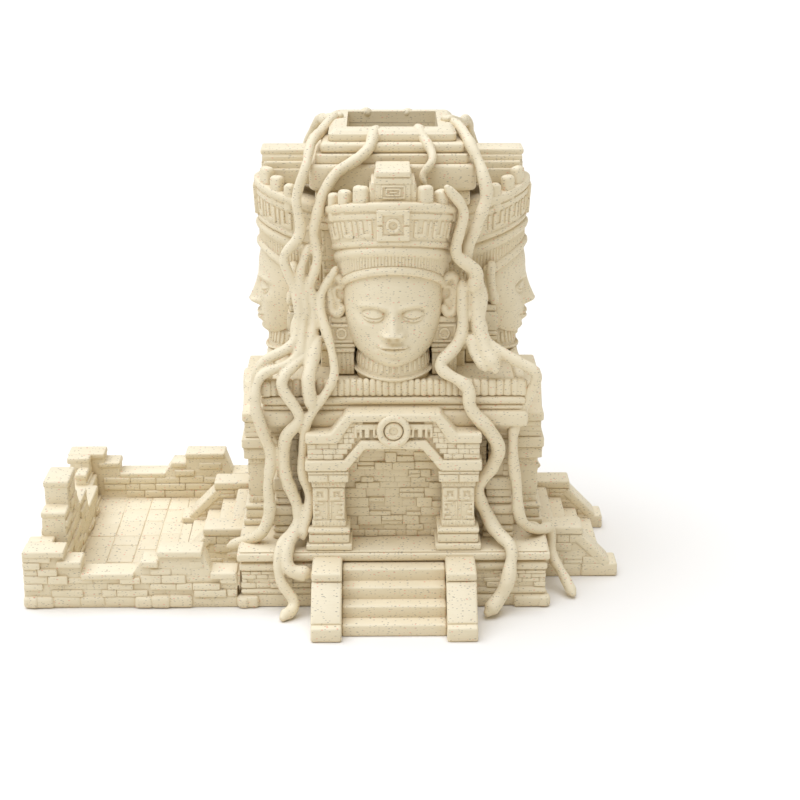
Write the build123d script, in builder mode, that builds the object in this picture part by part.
from build123d import *
from math import cos, radians
import os

# A temple-shaped dice tower with a dice tray that docks against its left side.
# Millimetres, +Z up. The origin is on the ground under the tower's axis, the
# front is -Y and the tray lies towards -X.

# Plinth
PLINTH_HALF = 48.6
PLINTH_TOP = 19.3
# Each course: bottom, top, half width
PLINTH_COURSES = [
    (0.0, 3.5, 48.6),
    (3.5, 6.2, 46.6),
    (6.2, 11.8, 46.9),
    (11.8, 16.1, 47.9),
    (16.1, 19.3, 48.6),
]

# Stairs, one flight in the middle of each side
STEP_COUNT = 5
FIRST_NOSE = 68.7
TREAD = 5.2
FLIGHT_HALF = 15.9
STAIR_HALF = 25.2
STAIR_REACH = 72.9
BALUSTRADE_TOP = 17.5
BALUSTRADE_SLOPE_START = 61.3
BALUSTRADE_SLOPE_END = 70.4
BALUSTRADE_CAP = 3.0
BALUSTRADE_FOOT = 5.4

# Lower storey
STOREY_TOP = 54.2
WALL_OUTER = 36.0
WALL = 3.0
PILASTER_IN = 29.0
PILASTER_OUT = 37.0

# Portico in front of each wall: two stacked columns under a pediment
PORTICO_FRONT = 47.6
# Each tier: bottom, top, inner side, outer side, front
COLUMN_TIERS = [
    (19.3, 21.6, 12.9, 27.1, 47.9),
    (21.6, 24.8, 13.5, 26.0, 47.2),
    (24.8, 27.6, 14.4, 25.4, 46.7),
    (27.6, 45.5, 15.0, 24.9, 46.2),
    (45.5, 48.9, 13.9, 26.8, 47.6),
]
ARCH_HALF = 14.6
ARCH_SPRING = 45.2
ARCH_CROWN = 52.5
ARCH_CROWN_HALF = 8.7
PEDIMENT_TOP = 63.8
PEDIMENT_TOP_HALF = 14.3
PEDIMENT_SHOULDER = 57.4
PEDIMENT_SHOULDER_HALF = 18.9
PEDIMENT_HALF = 26.9
PEDIMENT_BRICK_HALF = 26.0
PEDIMENT_BRICK_TOP = 54.0
MEDALLION_Z = 58.4
MEDALLION_R = 4.9
MEDALLION_HOLE_R = 2.2
MEDALLION_PROUD = 1.0

# Cornice and the bead course on it
CORNICE_FOOT_HALF = 38.0
CORNICE_HALF = 41.3
CORNICE_FLARE = 3.3
CORNICE_SLAB_TOP = 63.5
CORNICE_STEP_HALF = 40.3
CORNICE_TOP = 67.0
BEAD_TOP = 72.0
BEAD_HALF = 40.1

# Upper core, the square dice channel
CORE_HALF = 22.0
CHANNEL_HALF = 19.0
CORE_TOP = 127.7

# Heads, one on each side of the core
HEAD_AXIS = 28.4
NECK_R = 9.0
NECK_TOP = 78.0
COLLAR_R = 11.4
COLLAR_TOP = 75.0
CHIN_R = 7.0
JAW_R = 14.0
JAW_Z = 87.0
HEAD_R = 15.3
HEAD_WIDEST_Z = 95.0
HEAD_TOP_R = 12.6
HEAD_TOP = 105.0
EAR_R = 2.5
EAR_X = 17.6
EAR_Z = 96.0
EAR_HALF_HEIGHT = 5.0

# Crown, feathers and crest above each head
CROWN_AXIS = 23.4
CROWN_FOOT_R = 18.4
CROWN_BAND_TOP = 114.5
CROWN_BAND_R = 18.8
CROWN_RIM_R = 20.3
CROWN_RIM_Z = 127.8
CROWN_RIM_TILT = 15.4
FEATHER_R = 2.0
# Each feather: distance from the middle, distance in front of the axis, height
FEATHERS = [
    (9.4, 38.6, 5.3),
    (14.2, 35.4, 4.6),
    (17.4, 31.4, 3.9),
]
CREST_HALF = 6.9
CREST_CAP_HALF = 5.1
CREST_FRONT = 41.0
CREST_BOTTOM = 128.2
CREST_STEP = 135.0
CREST_TOP = 136.8

# Small pillars on both sides of each head
HEAD_PILLAR_IN = 12.3
HEAD_PILLAR_OUT = 20.1
HEAD_PILLAR_FRONT = 32.6
HEAD_PILLAR_TOP = 90.0

# Roof: two steps, a slab and the hopper rim, around the mouth for the dice
ROOF_HALF = 25.3
ROOF_STEP_Z = 135.8
ROOF_STEP_HALF = 23.5
ROOF_TOP = 138.5
SLAB_HALF = 21.8
SLAB_TOP = 141.8
RIM_HALF = 19.5
RIM_TOP = 145.4
RIM_BEVEL = 1.6
MOUTH_HALF = 14.0

# Slopes inside that turn the dice over
BAFFLE_THICKNESS = 2.5
BAFFLE_REACH = 13.0
BAFFLE_DROP = 11.0
UPPER_BAFFLE_Z = 118.0
LOWER_BAFFLE_Z = 96.0
RAMP_TOP = 52.0
RAMP_THICKNESS = 2.8
CHEEK = 2.0

# Stone roots that run down the corners of the tower
ROOT_R = 2.8
ROOT_BEND = 4.2
ROOT_CLEAR = 0.5
ROOT_UPPER_ALONG = 24.6
ROOT_UPPER_AWAY = 29.0
ROOT_TOP_Z = 136.0
ROOT_SPREAD_Z = 82.3
ROOT_LANE = 34.0
ROOT_TUCK_Z = 52.2
ROOT_TUCKED_Z = 46.2
SHORT_ROOT_END = 46.6
ROOT_FOOT_ALONG = 36.0
ROOT_FOOT_AWAY = 60.0

# Tray
DOCK_GAP = 0.3
TRAY_LENGTH = 66.5
TRAY_FLOOR = 2.5
TRAY_WALL = 9.0
END_WALL_INNER = 103.1
END_WALL_OUTER = 111.2
END_BASE_TOP = 12.0
END_SET_BACK_HALF = 35.0
END_WALL_TOP = 35.0
END_CORNER_INNER = 106.9
END_MERLON_NEAR = 28.0
NOTCH_GAP = 0.4
LOW_TOP = 12.0
MID_TOP = 16.0
HIGH_TOP = 19.4
# Top edge of the front and rear walls: distance from the tower's axis, height
SIDE_WALL_STEPS = [
    (115.4, HIGH_TOP),
    (102.4, HIGH_TOP),
    (102.4, MID_TOP),
    (96.2, MID_TOP),
    (96.2, LOW_TOP),
    (81.0, LOW_TOP),
    (78.3, MID_TOP),
    (73.3, MID_TOP),
    (73.3, HIGH_TOP),
    (59.6, HIGH_TOP),
    (56.9, LOW_TOP),
    (48.9, LOW_TOP),
]
# Top edge of the end wall, from the front to the rear: Y, height
END_WALL_STEPS = [
    (-39.6, HIGH_TOP),
    (-35.0, HIGH_TOP),
    (-35.0, 27.3),
    (-28.0, 27.3),
    (-28.0, 35.0),
    (-14.5, 35.0),
    (-14.5, 28.0),
    (-8.0, 20.0),
    (5.0, 20.0),
    (9.0, LOW_TOP),
    (28.0, LOW_TOP),
    (28.0, MID_TOP),
    (35.0, MID_TOP),
    (35.0, HIGH_TOP),
    (39.6, HIGH_TOP),
]

# Turn about the tower's axis that carries the front onto each side
SIDES = {"front": 0, "right": 90, "rear": 180, "left": 270}

os.makedirs("parts", exist_ok=True)


def save(part, name):
    """Labels a finished piece and writes its STEP file."""
    part.label = name
    export_step(part, f"parts/{name}.step")


def save_on_each_side(part, name):
    """Writes one copy of a front piece for each of the four sides."""
    for side, turn in SIDES.items():
        save(part.rotate(Axis.Z, turn), f"{side}_{name}")


def square_course(low, high, half):
    """Adds a square slab, centred on the tower, to the open part."""
    with BuildSketch(Plane.XY.offset(low)) as plan:
        Rectangle(2 * half, 2 * half)
    extrude(plan.sketch, amount=high - low)


def square_shaft(low, high, half):
    """Cuts a square hole, centred on the tower, through the open part."""
    with BuildSketch(Plane.XY.offset(low)) as plan:
        Rectangle(2 * half, 2 * half)
    extrude(plan.sketch, amount=high - low, mode=Mode.SUBTRACT)


def front_block(x_low, x_high, far, near, low, high):
    """Adds a box that lies between two distances in front of the tower's axis."""
    with BuildSketch(Plane.XY.offset(low)) as plan:
        with Locations(((x_low + x_high) / 2, -(far + near) / 2)):
            Rectangle(x_high - x_low, far - near)
    extrude(plan.sketch, amount=high - low)


# Base

with BuildPart() as base_plinth:
    for course_low, course_high, course_half in PLINTH_COURSES:
        square_course(course_low, course_high, course_half)
save(base_plinth.part, "base_plinth")

riser = PLINTH_TOP / STEP_COUNT
step_points = [(-PLINTH_HALF, 0)]
for step in range(STEP_COUNT - 1):
    nose = FIRST_NOSE - TREAD * step
    step_points.append((-nose, riser * step))
    step_points.append((-nose, riser * (step + 1)))
step_points.append((-PLINTH_HALF, riser * (STEP_COUNT - 1)))

with BuildPart() as stairs:
    with BuildSketch(Plane.YZ) as flight_side:
        with BuildLine():
            Polyline(*step_points, close=True)
        make_face()
    extrude(amount=FLIGHT_HALF, both=True)
save_on_each_side(stairs.part, "stairs")

with BuildPart() as balustrades:
    with BuildSketch(Plane.YZ.offset(FLIGHT_HALF)) as balustrade_side:
        with BuildLine():
            Polyline(
                (-PLINTH_HALF, 0),
                (-STAIR_REACH, 0),
                (-STAIR_REACH, BALUSTRADE_FOOT),
                (-BALUSTRADE_SLOPE_END, BALUSTRADE_FOOT),
                (-BALUSTRADE_SLOPE_START, BALUSTRADE_TOP - BALUSTRADE_CAP),
                (-BALUSTRADE_SLOPE_START, BALUSTRADE_TOP),
                (-PLINTH_HALF, BALUSTRADE_TOP),
                close=True,
            )
        make_face()
    extrude(amount=STAIR_HALF - FLIGHT_HALF)
    mirror(about=Plane.YZ)
save_on_each_side(balustrades.part, "balustrades")

# Lower storey

with BuildPart() as plain_wall:
    front_block(-PILASTER_IN, PILASTER_IN, WALL_OUTER, WALL_OUTER - WALL, PLINTH_TOP, STOREY_TOP)
for side in ("front", "right", "rear"):
    save(plain_wall.part.rotate(Axis.Z, SIDES[side]), f"lower_{side}_wall")

arch_points = [
    (ARCH_HALF, PLINTH_TOP),
    (ARCH_HALF, ARCH_SPRING),
    (ARCH_CROWN_HALF, ARCH_CROWN),
    (-ARCH_CROWN_HALF, ARCH_CROWN),
    (-ARCH_HALF, ARCH_SPRING),
    (-ARCH_HALF, PLINTH_TOP),
]

with BuildPart() as arched_wall:
    add(plain_wall.part)
    with BuildSketch(Plane.XZ.offset(WALL_OUTER - WALL)) as arch:
        with BuildLine():
            Polyline(*arch_points, close=True)
        make_face()
    extrude(amount=WALL, mode=Mode.SUBTRACT)
save(arched_wall.part.rotate(Axis.Z, SIDES["left"]), "lower_left_wall")

pilaster_width = PILASTER_OUT - PILASTER_IN
pilaster_spacing = PILASTER_OUT + PILASTER_IN

with BuildPart() as corner_pilasters:
    with BuildSketch(Plane.XY.offset(PLINTH_TOP)) as pilaster_plan:
        with GridLocations(pilaster_spacing, pilaster_spacing, 2, 2):
            Rectangle(pilaster_width, pilaster_width)
    extrude(amount=STOREY_TOP - PLINTH_TOP)
save(corner_pilasters.part, "corner_pilasters")

# Porticos

with BuildPart() as columns:
    for tier_low, tier_high, tier_in, tier_out, tier_front in COLUMN_TIERS:
        front_block(tier_in, tier_out, tier_front, WALL_OUTER, tier_low, tier_high)
    mirror(about=Plane.YZ)
save_on_each_side(columns.part, "columns")

pediment_foot = COLUMN_TIERS[-1][1]
foot_share = (pediment_foot - ARCH_SPRING) / (ARCH_CROWN - ARCH_SPRING)
foot_half = ARCH_HALF + (ARCH_CROWN_HALF - ARCH_HALF) * foot_share

with BuildPart() as pediment:
    with BuildSketch(Plane.XZ.offset(WALL_OUTER)) as pediment_front:
        with BuildLine():
            Polyline(
                (0, ARCH_CROWN),
                (ARCH_CROWN_HALF, ARCH_CROWN),
                (foot_half, pediment_foot),
                (PEDIMENT_BRICK_HALF, pediment_foot),
                (PEDIMENT_BRICK_HALF, PEDIMENT_BRICK_TOP),
                (PEDIMENT_HALF, PEDIMENT_BRICK_TOP),
                (PEDIMENT_HALF, PEDIMENT_SHOULDER),
                (PEDIMENT_SHOULDER_HALF, PEDIMENT_SHOULDER),
                (PEDIMENT_TOP_HALF, PEDIMENT_TOP),
                (0, PEDIMENT_TOP),
            )
            mirror(about=Plane.YZ)
        make_face()
    extrude(amount=PORTICO_FRONT - WALL_OUTER)
    # The cornice fills the space behind the upper part
    square_shaft(STOREY_TOP, PEDIMENT_TOP, CORNICE_HALF)
save_on_each_side(pediment.part, "pediment")

with BuildPart() as medallion:
    with BuildSketch(Plane.XZ.offset(PORTICO_FRONT)) as medallion_front:
        with Locations((0, MEDALLION_Z)):
            Circle(MEDALLION_R)
            Circle(MEDALLION_HOLE_R, mode=Mode.SUBTRACT)
    extrude(amount=MEDALLION_PROUD)

with BuildPart() as pediment_medallions:
    for turn in SIDES.values():
        add(medallion.part.rotate(Axis.Z, turn))
save(pediment_medallions.part, "pediment_medallions")

# Cornice and bead course

with BuildPart() as cornice:
    with BuildSketch(Plane.XY.offset(STOREY_TOP)):
        Rectangle(2 * CORNICE_FOOT_HALF, 2 * CORNICE_FOOT_HALF)
    with BuildSketch(Plane.XY.offset(STOREY_TOP + CORNICE_FLARE)):
        Rectangle(2 * CORNICE_HALF, 2 * CORNICE_HALF)
    loft()
    square_course(STOREY_TOP + CORNICE_FLARE, CORNICE_SLAB_TOP, CORNICE_HALF)
    square_course(CORNICE_SLAB_TOP, CORNICE_TOP, CORNICE_STEP_HALF)
    square_shaft(STOREY_TOP, CORNICE_TOP, CHANNEL_HALF)
save(cornice.part, "cornice")

with BuildPart() as bead_course:
    square_course(CORNICE_TOP, BEAD_TOP, BEAD_HALF)
    square_shaft(CORNICE_TOP, BEAD_TOP, CORE_HALF)
save(bead_course.part, "bead_course")

# Upper core

with BuildPart() as upper_core:
    square_course(CORNICE_TOP, CORE_TOP, CORE_HALF)
    square_shaft(CORNICE_TOP, CORE_TOP, CHANNEL_HALF)
save(upper_core.part, "upper_core")

# Heads: a plain turned body with ears, cut flat where it meets the core

core_face = Plane.XZ.offset(CORE_HALF)

with BuildPart() as turned_head:
    with BuildSketch(Plane.XZ) as head_half:
        with BuildLine():
            Polyline(
                (0, HEAD_TOP),
                (0, BEAD_TOP),
                (NECK_R, BEAD_TOP),
                (NECK_R, NECK_TOP),
                (CHIN_R, NECK_TOP),
            )
            Spline(
                (CHIN_R, NECK_TOP),
                (JAW_R, JAW_Z),
                (HEAD_R, HEAD_WIDEST_Z),
                (HEAD_TOP_R, HEAD_TOP),
            )
            Line((HEAD_TOP_R, HEAD_TOP), (0, HEAD_TOP))
        make_face()
    revolve(axis=Axis.Z)
    with BuildSketch(Plane.XY.offset(EAR_Z - EAR_HALF_HEIGHT)):
        with Locations((EAR_X, 0), (-EAR_X, 0)):
            Circle(EAR_R)
    extrude(amount=2 * EAR_HALF_HEIGHT)

with BuildPart() as head:
    add(turned_head.part.moved(Location((0, -HEAD_AXIS, 0))))
    split(bisect_by=core_face, keep=Keep.TOP)
save_on_each_side(head.part, "head")

with BuildPart() as collar:
    with BuildSketch(Plane.XY.offset(BEAD_TOP)):
        with Locations((0, -HEAD_AXIS)):
            Circle(COLLAR_R)
            Circle(NECK_R, mode=Mode.SUBTRACT)
    extrude(amount=COLLAR_TOP - BEAD_TOP)
    split(bisect_by=core_face, keep=Keep.TOP)

with BuildPart() as head_collars:
    for turn in SIDES.values():
        add(collar.part.rotate(Axis.Z, turn))
save(head_collars.part, "head_collars")

with BuildPart() as pillar_pair:
    front_block(
        HEAD_PILLAR_IN, HEAD_PILLAR_OUT, HEAD_PILLAR_FRONT, CORE_HALF, BEAD_TOP, HEAD_PILLAR_TOP
    )
    mirror(about=Plane.YZ)
    add(head.part, mode=Mode.SUBTRACT)

with BuildPart() as head_pillars:
    for turn in SIDES.values():
        add(pillar_pair.part.rotate(Axis.Z, turn))
save(head_pillars.part, "head_pillars")

# Crowns: a band, a flared rim that falls towards the back, feathers and a crest

crown_front = CROWN_AXIS + CROWN_RIM_R
rim_plane = Plane(
    origin=(0, -crown_front, CROWN_RIM_Z),
    x_dir=(1, 0, 0),
    z_dir=Vector(0, 0, 1).rotate(Axis.X, -CROWN_RIM_TILT),
)

with BuildPart() as turned_crown:
    with BuildSketch(Plane.XZ) as crown_half:
        with BuildLine():
            Polyline(
                (0, HEAD_TOP),
                (CROWN_FOOT_R, HEAD_TOP),
                (CROWN_BAND_R, CROWN_BAND_TOP),
                (CROWN_RIM_R, CROWN_RIM_Z),
                (0, CROWN_RIM_Z),
                close=True,
            )
        make_face()
    revolve(axis=Axis.Z)

with BuildPart() as crown:
    add(turned_crown.part.moved(Location((0, -CROWN_AXIS, 0))))
    split(bisect_by=core_face, keep=Keep.TOP)
    split(bisect_by=rim_plane, keep=Keep.BOTTOM)
save_on_each_side(crown.part, "crown")

feather_feet = []
for feather_x, feather_y, feather_height in FEATHERS:
    up_the_slope = (crown_front - feather_y) / cos(radians(CROWN_RIM_TILT))
    feather_feet.append((feather_x, up_the_slope, feather_height))

with BuildPart() as feathers:
    for foot_x, foot_y, feather_height in feather_feet:
        with BuildSketch(rim_plane):
            with Locations((foot_x, foot_y), (-foot_x, foot_y)):
                Circle(FEATHER_R)
        extrude(amount=feather_height, dir=(0, 0, 1))
save_on_each_side(feathers.part, "feathers")

with BuildPart() as crest:
    front_block(-CREST_HALF, CREST_HALF, CREST_FRONT, ROOF_HALF, CREST_BOTTOM, CREST_STEP)
    front_block(-CREST_CAP_HALF, CREST_CAP_HALF, CREST_FRONT, ROOF_HALF, CREST_STEP, CREST_TOP)
save_on_each_side(crest.part, "crest")

# Roof and hopper mouth

with BuildPart() as roof_block:
    square_course(CORE_TOP, ROOF_STEP_Z, ROOF_HALF)
    square_course(ROOF_STEP_Z, ROOF_TOP, ROOF_STEP_HALF)
    square_shaft(CORE_TOP, ROOF_TOP, CHANNEL_HALF)
save(roof_block.part, "roof_block")

with BuildPart() as roof_slab:
    square_course(ROOF_TOP, SLAB_TOP, SLAB_HALF)
    square_shaft(ROOF_TOP, SLAB_TOP, MOUTH_HALF)
save(roof_slab.part, "roof_slab")

with BuildPart() as hopper_rim:
    square_course(SLAB_TOP, RIM_TOP, RIM_HALF)
    chamfer(hopper_rim.faces().sort_by(Axis.Z)[-1].edges(), RIM_BEVEL)
    square_shaft(SLAB_TOP, RIM_TOP, MOUTH_HALF)
save(hopper_rim.part, "hopper_rim")


# Slopes inside


def baffle_points(wall_x, top_z):
    """Outline of a sloping plate that starts at a channel wall."""
    edge_x = wall_x - BAFFLE_REACH if wall_x > 0 else wall_x + BAFFLE_REACH
    return [
        (wall_x, top_z),
        (edge_x, top_z - BAFFLE_DROP),
        (edge_x, top_z - BAFFLE_DROP - BAFFLE_THICKNESS),
        (wall_x, top_z - BAFFLE_THICKNESS),
    ]


with BuildPart() as upper_baffle:
    with BuildSketch(Plane.XZ) as upper_baffle_side:
        with BuildLine():
            Polyline(*baffle_points(CHANNEL_HALF, UPPER_BAFFLE_Z), close=True)
        make_face()
    extrude(amount=CHANNEL_HALF, both=True)
save(upper_baffle.part, "upper_baffle")

with BuildPart() as lower_baffle:
    with BuildSketch(Plane.XZ) as lower_baffle_side:
        with BuildLine():
            Polyline(*baffle_points(-CHANNEL_HALF, LOWER_BAFFLE_Z), close=True)
        make_face()
    extrude(amount=CHANNEL_HALF, both=True)
save(lower_baffle.part, "lower_baffle")

wall_inner = WALL_OUTER - WALL
ramp_slope = (RAMP_TOP - PLINTH_TOP) / (2 * wall_inner)

with BuildPart() as exit_ramp:
    with BuildSketch(Plane.XZ) as ramp_side:
        with BuildLine():
            Polyline(
                (-wall_inner, PLINTH_TOP),
                (wall_inner, RAMP_TOP),
                (wall_inner, RAMP_TOP - RAMP_THICKNESS),
                (-wall_inner + RAMP_THICKNESS / ramp_slope, PLINTH_TOP),
                close=True,
            )
        make_face()
    extrude(amount=PILASTER_IN, both=True)
save(exit_ramp.part, "exit_ramp")

ramp_plane = Plane(
    origin=(-wall_inner, 0, PLINTH_TOP),
    x_dir=(1, 0, ramp_slope),
    z_dir=(-ramp_slope, 0, 1),
)

with BuildPart() as ramp_cheeks:
    with BuildSketch(Plane.XY.offset(PLINTH_TOP)) as cheek_plan:
        with BuildLine():
            Polyline(
                (wall_inner, CHANNEL_HALF),
                (-wall_inner, ARCH_HALF),
                (-wall_inner, ARCH_HALF + CHEEK),
                (wall_inner, CHANNEL_HALF + CHEEK),
                close=True,
            )
        make_face()
    extrude(amount=STOREY_TOP - PLINTH_TOP)
    mirror(about=Plane.XZ)
    split(bisect_by=ramp_plane, keep=Keep.TOP)
save(ramp_cheeks.part, "ramp_cheeks")

# Roots. A route is given for the lane on one face: distance along the face,
# distance from the tower's axis, height. The other lane of the same corner
# swaps the first two.

beside_pilaster = PILASTER_OUT + ROOT_R + ROOT_CLEAR
beside_cornice = CORNICE_HALF + ROOT_R + ROOT_CLEAR
beside_plinth = PLINTH_HALF + ROOT_R + ROOT_CLEAR
on_plinth = PLINTH_TOP + ROOT_R + ROOT_CLEAR
on_beads = BEAD_TOP + ROOT_R + ROOT_CLEAR

short_route = [
    (ROOT_UPPER_ALONG, ROOT_UPPER_AWAY, ROOT_TOP_Z),
    (ROOT_UPPER_ALONG, ROOT_UPPER_AWAY, ROOT_SPREAD_Z),
    (ROOT_LANE, BEAD_HALF - ROOT_BEND, on_beads),
    (ROOT_LANE, beside_cornice, on_beads),
    (ROOT_LANE, beside_cornice, ROOT_TUCK_Z),
    (ROOT_LANE, beside_pilaster, ROOT_TUCKED_Z),
    (ROOT_LANE, beside_pilaster, on_plinth),
    (ROOT_LANE, SHORT_ROOT_END, on_plinth),
]
long_route = short_route[:-1] + [
    (ROOT_LANE, beside_plinth, on_plinth),
    (ROOT_LANE, beside_plinth, ROOT_R + ROOT_CLEAR),
    (ROOT_FOOT_ALONG, ROOT_FOOT_AWAY, ROOT_R + ROOT_CLEAR),
]


def root_tube(points):
    """Adds a round tube along straight runs joined by arcs."""
    with BuildLine() as route:
        FilletPolyline(*points, radius=ROOT_BEND)
    with BuildSketch(Plane(origin=points[0], z_dir=(0, 0, -1))) as section:
        Circle(ROOT_R)
    sweep(section.sketch, path=route.wire())


def front_or_rear_lane(route, side_x, side_y):
    return [(side_x * along, side_y * away, height) for along, away, height in route]


def left_or_right_lane(route, side_x, side_y):
    return [(side_x * away, side_y * along, height) for along, away, height in route]


CORNERS = {
    "front_left": (-1, -1),
    "front_right": (1, -1),
    "rear_right": (1, 1),
    "rear_left": (-1, 1),
}

for corner, (side_x, side_y) in CORNERS.items():
    # The lane beside the tray stops on the plinth, so that the tray can slide
    side_route = long_route if side_x > 0 else short_route
    with BuildPart() as roots:
        root_tube(front_or_rear_lane(long_route, side_x, side_y))
        root_tube(left_or_right_lane(side_route, side_x, side_y))
    save(roots.part, f"{corner}_roots")

# Tray

dock_x = PLINTH_HALF + DOCK_GAP
tray_end_x = dock_x + TRAY_LENGTH
floor_half = PLINTH_HALF - TRAY_WALL
notch_x = STAIR_REACH + NOTCH_GAP
notch_half = STAIR_HALF + NOTCH_GAP
tongue_x = FIRST_NOSE + NOTCH_GAP
tongue_half = FLIGHT_HALF - NOTCH_GAP

# The floor goes around the exit stairs, with a tongue between the balustrades
with BuildPart() as tray_floor:
    with BuildSketch() as floor_plan:
        with BuildLine():
            Polyline(
                (-END_WALL_INNER, -floor_half),
                (-dock_x, -floor_half),
                (-dock_x, -notch_half),
                (-notch_x, -notch_half),
                (-notch_x, -tongue_half),
                (-tongue_x, -tongue_half),
                (-tongue_x, tongue_half),
                (-notch_x, tongue_half),
                (-notch_x, notch_half),
                (-dock_x, notch_half),
                (-dock_x, floor_half),
                (-END_WALL_INNER, floor_half),
                close=True,
            )
        make_face()
    extrude(amount=TRAY_FLOOR)
save(tray_floor.part, "tray_floor")

side_wall_points = [(-tray_end_x, 0)]
for distance, height in SIDE_WALL_STEPS:
    side_wall_points.append((-distance, height))
side_wall_points.append((-dock_x, 0))

with BuildPart() as tray_front_wall:
    with BuildSketch(Plane.XZ.offset(floor_half)) as side_wall_front:
        with BuildLine():
            Polyline(*side_wall_points, close=True)
        make_face()
    extrude(amount=TRAY_WALL)
save(tray_front_wall.part, "tray_front_wall")

with BuildPart() as tray_rear_wall:
    add(tray_front_wall.part.mirror(Plane.XZ))
save(tray_rear_wall.part, "tray_rear_wall")

end_wall_points = [(-floor_half, 0)] + END_WALL_STEPS + [(floor_half, 0)]

with BuildPart() as tray_end_wall:
    with BuildSketch(Plane.YZ.offset(-tray_end_x)) as end_wall_side:
        with BuildLine():
            Polyline(*end_wall_points, close=True)
        make_face()
    extrude(amount=tray_end_x - END_WALL_INNER)
    # Above its base the wall is set back, except at the two corners
    with BuildSketch(Plane.XY.offset(END_BASE_TOP)) as set_back:
        with Locations((-(tray_end_x + END_WALL_OUTER) / 2, 0)):
            Rectangle(tray_end_x - END_WALL_OUTER, 2 * END_SET_BACK_HALF)
    extrude(amount=END_WALL_TOP, mode=Mode.SUBTRACT)
    # The corners and the merlon beside the rear one are thinner on the inside
    with BuildSketch(Plane.XY.offset(TRAY_FLOOR)) as set_in:
        set_in_x = -(END_WALL_INNER + END_CORNER_INNER) / 2
        with Locations((set_in_x, (END_MERLON_NEAR + floor_half) / 2)):
            Rectangle(END_CORNER_INNER - END_WALL_INNER, floor_half - END_MERLON_NEAR)
        with Locations((set_in_x, -(END_SET_BACK_HALF + floor_half) / 2)):
            Rectangle(END_CORNER_INNER - END_WALL_INNER, floor_half - END_SET_BACK_HALF)
    extrude(amount=END_WALL_TOP, mode=Mode.SUBTRACT)
save(tray_end_wall.part, "tray_end_wall")
